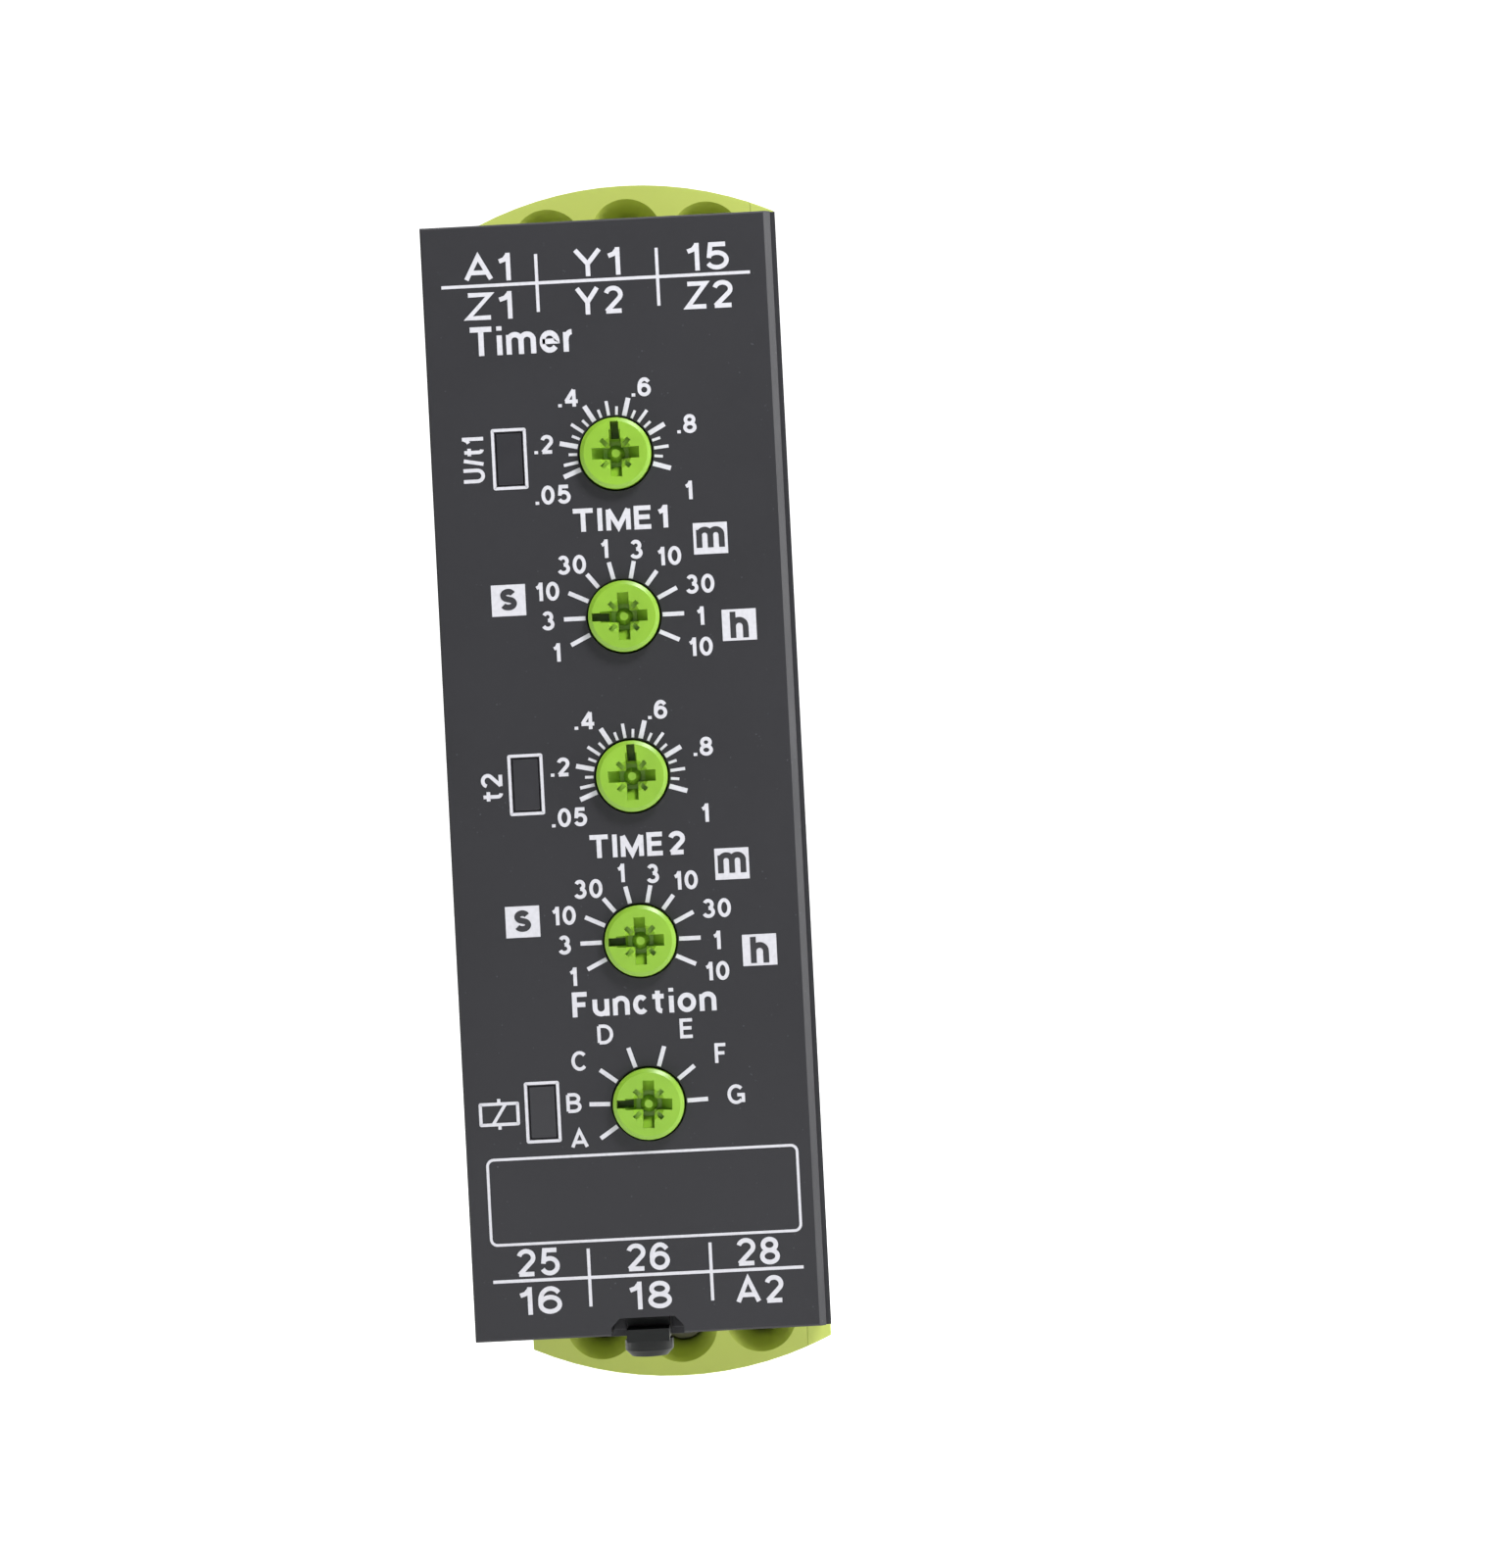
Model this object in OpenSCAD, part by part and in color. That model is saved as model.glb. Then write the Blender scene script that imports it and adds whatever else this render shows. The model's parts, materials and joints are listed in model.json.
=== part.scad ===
// Two-time timer for a 35 mm mounting rail, in millimetres, +Z up, with the front facing -Y.
// The origin is the middle of the rail's front face, where the rear of the housing seats.

/* [Housing] */
// Width of the module along the rail
body_w = 22.5; // [22.5:0.5:23.5]
// Height over the outer terminal tiers
body_h = 90; // [90:0.5:91]
// Height over the inner terminal tiers
tier_h = 79; // [78.8:0.1:79]
// Height of the front section and its cap
front_h = 70.5; // [70.1:0.1:70.5]
// Depth from the rail seat to the front face
front_depth = 102.5; // [102.5:0.5:106]
// Depth of the hooks behind the rail seat
hook_depth = 5.5; // [5.5:0.1:6]
// Wall thickness of the housing
wall = 1.8; // [1.6:0.1:1.8]
// How far the arched ends drop from the middle to the sides
arch_drop = 2.5; // [2.2:0.1:2.6]

/* [Terminals] */
// Distance between terminal columns
pitch = 6; // [5.9:0.1:6]
// Radius of the screwdriver holes
driver_r = 1.75; // [1.7:0.05:1.75]
// Mouth radius of the round funnels on the outer tiers
funnel_r = 2.7; // [2.5:0.1:2.8]
// Depth of the funnels' cones
funnel_depth = 3; // [2.5:0.1:3.5]
// How far the outer tiers' screw heads lie behind their faces
outer_recess = 6.2; // [5.8:0.1:6.4]
// How far a clamp rises when its screw is driven home
clamp_travel = 2.4; // [2:0.1:2.4]

/* [Controls] */
// Diameter of the setting knobs
knob_d = 4.5; // [4.3:0.1:4.7]
// How far the knobs stand out of the front face
knob_proud = 0.7; // [0.4:0.1:1]
// Width of the indicator windows
window_w = 1.7; // [1.6:0.05:1.8]
// Height of the indicator windows
window_h = 3.35; // [3.2:0.05:3.5]

/* [Hidden] */
$fn = 64;
eps = 0.01;
TERMINALS = [
  // name, column, end (1 top, -1 bottom), tier (0 inner, 1 outer)
  ["a1", -1, 1, 1], ["y1", 0, 1, 1], ["15", 1, 1, 1],
  ["z1", -1, 1, 0], ["y2", 0, 1, 0], ["z2", 1, 1, 0],
  ["25", -1, -1, 0], ["26", 0, -1, 0], ["28", 1, -1, 0],
  ["16", -1, -1, 1], ["18", 0, -1, 1], ["a2", 1, -1, 1]
];
KNOBS = [
  // name, height, direction of the pointer at rest
  ["time1", 20.4, 90], ["range1", 10.1, 180], ["time2", 0, 90],
  ["range2", -10.4, 180], ["function", -20.7, 177.7]
];
WINDOWS = [20.4, -0.2, -20.9];
RELAYS = [["relay1", 20.5], ["relay2", 6]];
RELAY_PARTS = ["base", "case", "frame", "coil", "armature", "contacts"];

half_w = body_w / 2;
cover_x = half_w - wall;
front_y = -front_depth;
cap_y = front_y + 8;
plate_y = front_y + 2;
inner_face = front_y + 40;
outer_face = front_y + 59;
front_z = front_h / 2;
tier_z = tier_h / 2;
end_z = body_h / 2;
cavity_z = front_z - wall;
arch_r = (half_w * half_w + arch_drop * arch_drop) / (2 * arch_drop);
rail_top = 17.6;
rail_bottom = -18.4;
flange_t = 1;
// The seat ends short of both rail lips, in a shallow relief
seat_top = 15.1;
seat_bottom = -15.4;
seat_relief = 0.3;
knob_x = 0.45;
knob_r = knob_d / 2;
recess_depth = 1.3;
window_x = -6.27;
board_t = 1.6;
front_board_y = front_y + 6;
board_x = -8.6;
board_face = board_x + board_t;
terminal_board_z = 31.2;
// Ventilation slots in the side walls and in the ends of the front section
vent_w = 1.4;
vent_pitch = 3.2;
side_vent_y = -88;
side_vent_z = [22.5, 31];
end_vent_y = [-86, -68];
// Label panel on the right side
label_depth = 0.2;
label_y = [-90, -48];
label_z = [-18, 18];
// Places along a terminal's screw, counted from the front of its head
head_h = 2.1;
collar_y = 2.6;
bar_y = collar_y + clamp_travel + 2.05;
bar_t = 0.9;
clamp_y = bar_y - 1.9;
clamp_h = 6.4;
chamber_y = clamp_y + clamp_h + 0.2;
clamp_end = 1.6;
shank_r = 1.15;
// Edge breaks of the cap, with a wider one beside the shadow gap along its right edge
cap_edge = 0.12;
cap_edge_right = 0.42;
shadow_gap = 0.32;
// Front release button
latch_x = -0.35;
latch_y = front_y + 2.1;
latch_end = -(front_z + 1.5);
foot_travel = 3;
spring_low = -38.3;
spring_high = -28.1;

function term_x(t) = t[1] * pitch;
function term_y(t) = t[3] == 1 ? outer_face + outer_recess : inner_face + 1.5;
function term_z(t) = t[3] == 1 ? end_z - 1 - funnel_r - abs(t[1]) * 0.5 : tier_z - 2.1;

// The same span on the upper (1) or the lower (-1) side
function on_side(s, z) = s > 0 ? z : [-z[1], -z[0]];

// Straight solids named by where they start and end
module block(x, y, z) {
  translate([x[0], y[0], z[0]]) cube([x[1] - x[0], y[1] - y[0], z[1] - z[0]]);
}
module along_x(x0, x1) {
  translate([x0, 0, 0]) rotate([90, 0, 90]) linear_extrude(x1 - x0) children();
}
module along_y(y0, y1) {
  translate([0, y1, 0]) rotate([90, 0, 0]) linear_extrude(y1 - y0) children();
}
module rod_y(x, z, y0, y1, front_r, rear_r) {
  translate([x, y1, z]) rotate([90, 0, 0]) cylinder(h = y1 - y0, r1 = rear_r, r2 = front_r);
}
module rod_x(y, z, x0, x1, r) {
  translate([x0, y, z]) rotate([0, 90, 0]) cylinder(h = x1 - x0, r = r);
}
module at_terminal(t) {
  translate([term_x(t), term_y(t), 0])
    rotate([0, t[2] > 0 ? 0 : 180, 0]) translate([0, 0, term_z(t)]) children();
}

// Side view of the housing: a stepped front, the fixed rail hook on top and the foot's block below
module side_outline() {
  polygon([
    [cap_y, -front_z], [cap_y, front_z], [inner_face, front_z], [inner_face, tier_z],
    [outer_face, tier_z], [outer_face, end_z], [hook_depth, end_z], [hook_depth, 19.5],
    [3.4, rail_top], [3.4, 15.2], [2.6, 15.2], [flange_t + 0.2, 16.2], [flange_t + 0.2, rail_top],
    [-seat_relief, rail_top], [-seat_relief, seat_top], [0, seat_top], [0, seat_bottom],
    [-seat_relief, seat_bottom], [-seat_relief, rail_bottom], [hook_depth, rail_bottom],
    [hook_depth, -end_z], [outer_face, -end_z], [outer_face, -tier_z], [inner_face, -tier_z],
    [inner_face, -front_z]
  ]);
}
// Front view of the housing, with both ends arched
module end_arches() {
  square([body_w, 2 * (end_z - arch_drop)], center = true);
  for (s = [1, -1]) intersection() {
    translate([0, s * (end_z - arch_r)]) circle(arch_r, $fn = 180);
    translate([-half_w, s > 0 ? 0 : -end_z]) square([body_w, end_z]);
  }
}
module outer_form(x0, x1) {
  intersection() {
    along_x(x0, x1) side_outline();
    along_y(cap_y - 1, hook_depth + 1) end_arches();
  }
}
module cavity() {
  rear_y = outer_face + 20;
  rear_z = end_z - 3.8;
  along_x(-cover_x, half_w + 1) union() {
    translate([cap_y - 1, -cavity_z]) square([-wall - cap_y + 1, 2 * cavity_z]);
    translate([rear_y, -rear_z]) square([-wall - rear_y, 2 * rear_z]);
  }
}
module terminal_hollow(t) {
  depth = term_y(t) - (t[3] == 1 ? outer_face : inner_face);
  rod_y(0, 0, -depth - 1, head_h, driver_r, driver_r);
  rod_y(0, 0, head_h - eps, collar_y + eps, shank_r + 0.1, shank_r + 0.1);
  if (t[3] == 1) rod_y(0, 0, -depth - eps, funnel_depth - depth, funnel_r, driver_r);
  block([-2.5, 2.5], [collar_y, chamber_y], [cavity_z - term_z(t) - 0.1, clamp_end + 0.15]);
  block([-1.6, 1.6], [bar_y + 1, bar_y + 3.6], [clamp_end, 6]);
}
module foot_channel() {
  difference() {
    block([-5.95, 5.95], [flange_t + 0.1, 3.65], [-end_z - 1, rail_bottom + 1]);
    block([-1.4, 1.4], [flange_t, 3.3], [spring_low - 1.3, spring_low]);
  }
  block([-4.15, 4.15], [3.6, hook_depth + 1], [-end_z - 1, rail_bottom + 1]);
}
PEGS = [[-46, 36.4], [-46, -36.4], [2, 36], [2, -36]];
module side_vents(x0, x1) {
  for (s = [1, -1], i = [0 : 5]) {
    y = side_vent_y + i * vent_pitch;
    block([x0, x1], [y, y + vent_w], on_side(s, side_vent_z));
  }
}
module end_vents() {
  for (s = [1, -1], i = [-2 : 2]) {
    x = i * vent_pitch;
    block([x - vent_w / 2, x + vent_w / 2], end_vent_y, on_side(s, [cavity_z - 1, front_z + 1]));
  }
}

module housing_shell() {
  color("yellowgreen") difference() {
    outer_form(-half_w, cover_x);
    cavity();
    for (t = TERMINALS) at_terminal(t) terminal_hollow(t);
    foot_channel();
    for (p = PEGS) rod_x(p[0], p[1], cover_x - 3.1, cover_x + 1, 1.25);
    for (s = [1, -1])
      block([-3.1, 3.1], [cap_y + 1.4, cap_y + 3.1], on_side(s, [cavity_z - 1, cavity_z + 0.75]));
    side_vents(-half_w - 1, -cover_x + 1);
    end_vents();
  }
}
module side_cover() {
  color("yellowgreen") {
    difference() {
      outer_form(cover_x, half_w);
      side_vents(cover_x - 1, half_w + 1);
      block([half_w - label_depth, half_w + 1], label_y, label_z);
      for (p = PEGS) rod_x(p[0], p[1], half_w - 0.3, half_w + 1, 1.6);
    }
    for (p = PEGS) rod_x(p[0], p[1], cover_x - 3, cover_x + eps, 1.2);
  }
}

// Black front cap: a faced plate, short side walls, two snap tongues and four board posts
module edge_cut(length, size) {
  rotate([0, 0, 45]) cube([size * sqrt(2), size * sqrt(2), length], center = true);
}
module front_cap() {
  face_right = half_w - shadow_gap;
  color([0.2, 0.2, 0.22]) union() {
    difference() {
      cap_blank();
      for (s = [1, -1])
        translate([0, front_y, s * front_z]) rotate([0, 90, 0]) edge_cut(body_w + 2, cap_edge);
      translate([-half_w, front_y, 0]) edge_cut(front_h + 2, cap_edge);
      translate([face_right, front_y, 0]) edge_cut(front_h + 2, cap_edge_right);
      block([face_right, half_w + 1], [front_y - 1, front_y + 0.8], [-front_z - 1, front_z + 1]);
      for (k = KNOBS) rod_y(knob_x, k[1], front_y - 1, plate_y + 1, knob_r + 0.12, knob_r + 0.12);
      for (z = WINDOWS) translate([window_x, 0, z])
        block([-window_w / 2, window_w / 2], [front_y - 1, plate_y + 1], [-window_h / 2, window_h / 2]);
      latch_opening();
    }
    // A rib behind the release button closes the notch from below
    translate([latch_x, latch_y, -front_z]) block([-2.6, 2.6], [1.8, 2.8], [-0.45, 0.4]);
  }
}
module cap_blank() {
  post_z = [29.2, 30.6];
  difference() {
    block([-half_w, half_w], [front_y, cap_y], [-front_z, front_z]);
    block([-cover_x, cover_x], [plate_y, cap_y + 1], [-cavity_z, cavity_z]);
  }
  for (s = [1, -1]) {
    block([-7, 7], [plate_y + 4, cap_y + 4.6], on_side(s, [cavity_z - 1, cavity_z - 0.08]));
    block([-2.9, 2.9], [cap_y + 1.6, cap_y + 2.9], on_side(s, [cavity_z - 0.5, cavity_z + 0.6]));
    block([-7, 7], [plate_y, plate_y + 4.2], on_side(s, [cavity_z - 1, cavity_z + 0.5]));
    for (x = [-8.9, 7.5]) block([x, x + 1.4], [plate_y - eps, front_board_y], on_side(s, post_z));
  }
}
module latch_opening() {
  x = latch_x;
  along_y(front_y - 1, latch_y + 1.7) polygon([
    [x - 2.3, -front_z - 1], [x - 2.3, -front_z + 0.5], [x - 1.75, -front_z + 1.1],
    [x + 1.75, -front_z + 1.1], [x + 2.3, -front_z + 0.5], [x + 2.3, -front_z - 1]
  ]);
  block([x - 1.5, x + 1.5], [latch_y + 0.05, latch_y + 1.75], [-front_z, -cavity_z + 2]);
}
module front_latch() {
  x = latch_x;
  color([0.15, 0.16, 0.17]) union() {
    translate([x, latch_y - 0.05, latch_end]) {
      cylinder(h = 0.4, r1 = 1.15, r2 = 1.53);
      translate([0, 0, 0.4 - eps]) cylinder(h = 0.65, r = 1.53);
    }
    block([x - 1.35, x + 1.35], [latch_y - 1.8, latch_y + 1.6], [latch_end + 1, -front_z + 0.3]);
    block([x - 1.35, x + 1.35], [latch_y + 0.2, latch_y + 1.6], [-front_z, -cavity_z + 2]);
    block([x - 2.1, x + 2.1], [latch_y + 0.2, latch_y + 1.6], [-cavity_z + 1.1, -cavity_z + 1.8]);
  }
}
module light_guides() {
  color([0.25, 0.25, 0.28]) for (z = WINDOWS) translate([window_x, 0, z]) {
    w = window_w / 2 - 0.04;
    h = window_h / 2 - 0.04;
    block([-w, w], [front_y + 0.03, plate_y + 2.2], [-h, h]);
    block([-w - 0.4, w + 0.4], [plate_y + 0.1, plate_y + 0.8], [-h - 0.4, h + 0.4]);
  }
}

// A setting knob: drive recess, pointer slot, retaining flange and the stem that turns its trimmer
module knob(k) {
  top = front_y - knob_proud;
  color([0.6, 0.82, 0.25]) translate([knob_x, 0, k[1]]) rotate([0, -k[2], 0]) difference() {
    union() {
      rod_y(0, 0, top, top + 0.16, knob_r - 0.24, knob_r);
      rod_y(0, 0, top + 0.16 - eps, plate_y + 0.2, knob_r, knob_r);
      rod_y(0, 0, plate_y + 0.15, plate_y + 0.4, knob_r + 0.5, knob_r + 0.5);
      rod_y(0, 0, plate_y + 0.3, plate_y + 2.8, 1, 1);
    }
    difference() {
      union() {
        for (a = [0, 90]) rotate([0, a, 0]) drive_arm(top);
        for (a = [45, 135]) rotate([0, a, 0]) block([-1.25, 1.25], [top - 1, top + 0.5], [-0.15, 0.15]);
        rod_y(0, 0, top - eps, top + 0.7, 1.05, 0.6);
      }
      rod_y(0, 0, top + 0.5, top + recess_depth + 0.1, 0.25, 0.6);
    }
    block([0.95, 2.01], [top - 1, top + 2.2], [-0.26, 0.26]);
  }
}
// Two opposite arms of the drive recess, whose floors rise towards their ends
module drive_arm(top) {
  floor_y = top + recess_depth;
  translate([0, 0, -0.36]) linear_extrude(0.72) polygon([
    [-1.5, top - 1], [-1.5, top + 0.3], [-0.8, floor_y], [0.8, floor_y], [1.5, top + 0.3], [1.5, top - 1]
  ]);
}
module trimmers() {
  color("midnightblue") for (k = KNOBS) difference() {
    block([knob_x - 2.9, knob_x + 2.9], [plate_y + 0.5, front_board_y], [k[1] - 2.9, k[1] + 2.9]);
    rod_y(knob_x, k[1], plate_y, plate_y + 3, 1.05, 1.05);
  }
}
module front_board() {
  color("darkgreen") block([-9, 9], [front_board_y, front_board_y + board_t], [-31.9, 31.9]);
}
module leds() {
  color("ivory") for (z = WINDOWS)
    block([window_x - 0.8, window_x + 0.8], [front_board_y - 0.9, front_board_y], [z - 0.6, z + 0.6]);
}
module main_board() {
  color("darkgreen") block([board_x, board_face], [front_board_y + board_t + 0.3, -3.5], [-30.8, 30.8]);
}
module board_headers() {
  x = [board_face, board_face + 2.4];
  y = [front_board_y + board_t, front_board_y + board_t + 3];
  tail_z = [terminal_board_z - 2.4, terminal_board_z];
  color("black") {
    block(x, y, [-8, 8]);
    for (s = [1, -1]) block(x, [inner_face + 12.5, inner_face + 26.5], on_side(s, tail_z));
  }
}
module terminal_board(end) {
  z = on_side(end, [terminal_board_z, terminal_board_z + board_t]);
  color("darkgreen") difference() {
    block([-9, 9], [inner_face + 5.5, outer_face + 18], z);
    for (t = TERMINALS) if (t[2] == end) at_terminal(t)
      block([-0.8, 0.8], [bar_y - 0.1, bar_y + bar_t + 0.1], [-12, 0]);
  }
}

// One terminal, drawn along its own screw: the screw, its rising clamp and its contact bar
module screw(t) {
  color("silver") at_terminal(t) difference() {
    union() {
      rod_y(0, 0, 0, head_h - 0.05, 1.6, 1.6);
      rod_y(0, 0, 1, bar_y - 0.05, shank_r, shank_r);
    }
    for (a = [0, 90]) rotate([0, a, 0]) block([-1.15, 1.15], [-1, 1], [-0.25, 0.25]);
  }
}
module clamp(t) {
  color("gainsboro") at_terminal(t) difference() {
    block([-2.3, 2.3], [clamp_y, clamp_y + clamp_h], [-2.6, clamp_end]);
    block([-1.6, 1.6], [clamp_y + 1.6, clamp_y + clamp_h - 0.8], [-3, 2]);
    rod_y(0, 0, clamp_y - 1, clamp_y + 2, shank_r + 0.05, shank_r + 0.05);
  }
}
module contact_bars() {
  color("goldenrod") for (t = TERMINALS) at_terminal(t) {
    board_top = terminal_board_z + board_t - term_z(t);
    union() {
      block([-1.45, 1.45], [bar_y, bar_y + bar_t], [board_top, 1]);
      block([-0.7, 0.7], [bar_y, bar_y + bar_t], [board_top - board_t - 0.8, board_top + eps]);
    }
  }
}

// Rail foot: a sprung slide whose lip grips behind the rail's lower edge
module rail_foot() {
  color([0.15, 0.16, 0.17]) difference() {
    union() {
      block([-5.8, 5.8], [flange_t + 0.2, 3.5], [-44, -19]);
      along_x(-5.8, 5.8) polygon([
        [flange_t + 0.2, -19.2], [flange_t + 0.2, -16.4], [2.4, -15.5], [3.5, -15.5], [3.5, -19.2]
      ]);
      block([-4, 4], [3.4, hook_depth - 0.1], [-44, -22]);
    }
    block([-1.55, 1.55], [0, 3.5], [-43, spring_high + 0.1]);
    block([-2, 2], [4.1, hook_depth + 1], [-43, -41.6]);
  }
}
function coil_ring(a, sides, coil_r, wire_r, z) = [
  for (i = [0 : sides - 1]) let (b = 360 * i / sides, r = coil_r + wire_r * cos(b))
    [r * cos(a), r * sin(a), z + wire_r * sin(b)]
];
module foot_spring() {
  turns = 6.5;
  steps = 78;
  sides = 8;
  wire_r = 0.2;
  z0 = spring_low + wire_r + 0.02;
  rise = spring_high - spring_low - 2 * wire_r - 0.04;
  rings = [for (i = [0 : steps]) let (part = i / steps)
    each coil_ring(360 * turns * part, sides, 0.9, wire_r, z0 + rise * part)];
  skin = [for (i = [0 : steps - 1], j = [0 : sides - 1])
    let (a = i * sides, n = (j + 1) % sides) [a + j, a + n, a + sides + n, a + sides + j]];
  first = [for (j = [sides - 1 : -1 : 0]) j];
  last = [for (j = [0 : sides - 1]) steps * sides + j];
  color("silver") translate([0, 2.3, 0]) polyhedron(rings, concat(skin, [first], [last]));
}

// A board relay with one changeover contact, lying along the main board
relay_y = inner_face + 10.5;
relay_l = 28;
relay_w = 12.5;
relay_h = 15;
pivot_x = board_face + 11.85;
module relay_part(r, part) {
  translate([0, relay_y, r[1]]) {
    if (part == "base") relay_base();
    if (part == "case") relay_case();
    if (part == "frame") relay_frame();
    if (part == "coil") relay_coil();
    if (part == "armature") relay_armature();
    if (part == "contacts") relay_contacts();
  }
}
module relay_base() {
  w = relay_w / 2;
  color("dimgray") block([board_face, board_face + 1.4], [0, relay_l], [-w, w]);
}
module relay_case() {
  w = relay_w / 2;
  x = board_face + 1.4;
  color("darkslategray") difference() {
    block([x, board_face + relay_h], [0, relay_l], [-w, w]);
    block([x - 1, board_face + relay_h - 0.8], [0.8, relay_l - 0.8], [-w + 0.8, w - 0.8]);
  }
}
module relay_frame() {
  axis_x = board_face + 6;
  color("silver") union() {
    rod_y(axis_x, 0, 8.3, 24, 1.9, 1.9);
    block([board_face + 1.4, pivot_x + 0.65], [23.6, 25], [-4.5, 4.5]);
    block([pivot_x - 0.65, pivot_x + 0.65], [7.8, 25], [-4.5, 4.5]);
  }
}
module relay_coil() {
  axis_x = board_face + 6;
  color("chocolate") difference() {
    union() {
      rod_y(axis_x, 0, 9.6, 22.6, 4.1, 4.1);
      for (y = [9, 22.3]) rod_y(axis_x, 0, y, y + 1, 4.5, 4.5);
    }
    rod_y(axis_x, 0, 8, 24, 1.95, 1.95);
  }
}
module relay_armature() {
  color("lightsteelblue") union() {
    block([board_face + 4.5, pivot_x + 0.65], [6.2, 7.4], [-4, 4]);
    translate([pivot_x, 7.5, -4]) cylinder(h = 8, r = 0.28);
    block([board_face + 2, board_face + 10], [5.9, 6.2 + eps], [-1.5, 1.5]);
    rod_y(board_face + 2.8, 0, 5.3, 6.9, 0.8, 0.8);
  }
}
module relay_contacts() {
  x = [board_face + 1.4, board_face + 3.6];
  color("goldenrod") for (y = [[4.2, 5.25], [7.95, 8.85]]) block(x, y, [-1.5, 1.5]);
}

module supply_transformer() {
  color("dimgray") union() {
    block([board_face, board_face + 2], [inner_face + 12.5, inner_face + 34.5], [-26, -7]);
    block([board_face + 1.9, board_face + 12], [inner_face + 14, inner_face + 33], [-24.5, -8.5]);
    block([board_face + 3, board_face + 11], [inner_face + 12.8, inner_face + 34.2], [-20, -13]);
  }
}
module capacitors() {
  color("slateblue") for (c = [[-15, 22, 4], [-15, 12, 4], [-15, 1, 5]])
    union() {
      rod_x(c[0], c[1], board_face, board_face + 11, c[2]);
      rod_x(c[0], c[1], board_face + 10.9, board_face + 11.6, c[2] - 0.5);
    }
}
module varistor() {
  color("royalblue") union() {
    translate([board_face + 6.5, -15, -16]) cylinder(h = 3.2, r = 4.5);
    for (y = [-17.5, -12.5]) rod_x(y, -14.4, board_face, board_face + 5, 0.4);
  }
}
module control_chip() {
  color([0.1, 0.1, 0.1]) union() {
    block([board_face + 0.3, board_face + 2], [-86, -79], [-5, 5]);
    for (z = [-4.2 : 1.2 : 4.2], s = [1, -1])
      block([board_face, board_face + 1.1], s > 0 ? [-79.2, -78] : [-87, -85.8], [z - 0.25, z + 0.25]);
  }
}

housing_shell();
side_cover();
front_cap();
light_guides();
front_latch();
rail_foot();
foot_spring();
trimmers();
front_board();
leds();
main_board();
board_headers();
terminal_board(1);  // terminal_board_top
terminal_board(-1);  // terminal_board_bottom
contact_bars();
supply_transformer();
capacitors();
varistor();
control_chip();
for (k = KNOBS) knob(k);
for (t = TERMINALS) screw(t);
for (t = TERMINALS) clamp(t);
for (r = RELAYS) for (p = RELAY_PARTS) relay_part(r, p);
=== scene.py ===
# The looks of the two-time rail timer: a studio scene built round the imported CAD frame, in metres.
import json
import math

import bmesh
import bpy
from mathutils import Matrix, Vector


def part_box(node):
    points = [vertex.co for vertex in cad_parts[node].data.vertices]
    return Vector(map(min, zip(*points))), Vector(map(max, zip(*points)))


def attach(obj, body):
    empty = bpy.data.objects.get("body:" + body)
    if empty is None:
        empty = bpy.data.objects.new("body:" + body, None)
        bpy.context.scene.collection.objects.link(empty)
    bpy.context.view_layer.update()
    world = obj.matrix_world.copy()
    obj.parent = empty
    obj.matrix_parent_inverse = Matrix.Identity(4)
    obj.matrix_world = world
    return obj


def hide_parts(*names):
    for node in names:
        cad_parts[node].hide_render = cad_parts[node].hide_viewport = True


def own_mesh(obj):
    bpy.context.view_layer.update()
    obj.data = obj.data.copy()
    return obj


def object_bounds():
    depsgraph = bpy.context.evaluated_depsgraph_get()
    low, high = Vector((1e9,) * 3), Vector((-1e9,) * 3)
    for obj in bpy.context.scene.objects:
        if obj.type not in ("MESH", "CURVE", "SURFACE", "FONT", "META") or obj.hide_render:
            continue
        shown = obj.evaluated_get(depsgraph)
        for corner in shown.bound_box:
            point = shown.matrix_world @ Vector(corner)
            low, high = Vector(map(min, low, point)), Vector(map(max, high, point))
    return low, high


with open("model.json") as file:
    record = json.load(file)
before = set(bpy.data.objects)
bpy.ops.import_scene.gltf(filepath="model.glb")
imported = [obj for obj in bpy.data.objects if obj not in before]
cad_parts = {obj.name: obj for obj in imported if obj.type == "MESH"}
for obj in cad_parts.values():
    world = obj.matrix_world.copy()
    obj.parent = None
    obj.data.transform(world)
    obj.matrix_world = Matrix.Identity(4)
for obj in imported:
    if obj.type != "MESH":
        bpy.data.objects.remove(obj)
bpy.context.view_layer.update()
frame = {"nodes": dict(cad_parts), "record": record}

MM = 0.001
ROOT = "root_housing"
RECORD = frame["record"]
NODES = frame["nodes"]
FACE_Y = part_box("front_cap")[0][1]
SIDE_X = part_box("side_cover")[1][0]
INK = 0.02 * MM
LAYER = 0.002 * MM  # crossing strokes lie this far over each other, so that no faces coincide
WINDOW_ROWS = (20.4, -0.2, -20.9)


def new_object(name, mesh, material):
    """An object in one material, made from a finished bmesh."""
    data = bpy.data.meshes.new(name)
    mesh.to_mesh(data)
    mesh.free()
    data.materials.append(material)
    obj = bpy.data.objects.new(name, data)
    bpy.context.scene.collection.objects.link(obj)
    return obj


# ---------------------------------------------------------------- materials
def new_material(name):
    mat = bpy.data.materials.new(name)
    mat.use_nodes = True
    tree = mat.node_tree
    return mat, tree, tree.nodes["Principled BSDF"]


def node(tree, kind, **values):
    made = tree.nodes.new(kind)
    for key, value in values.items():
        setattr(made, key, value)
    return made


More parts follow.
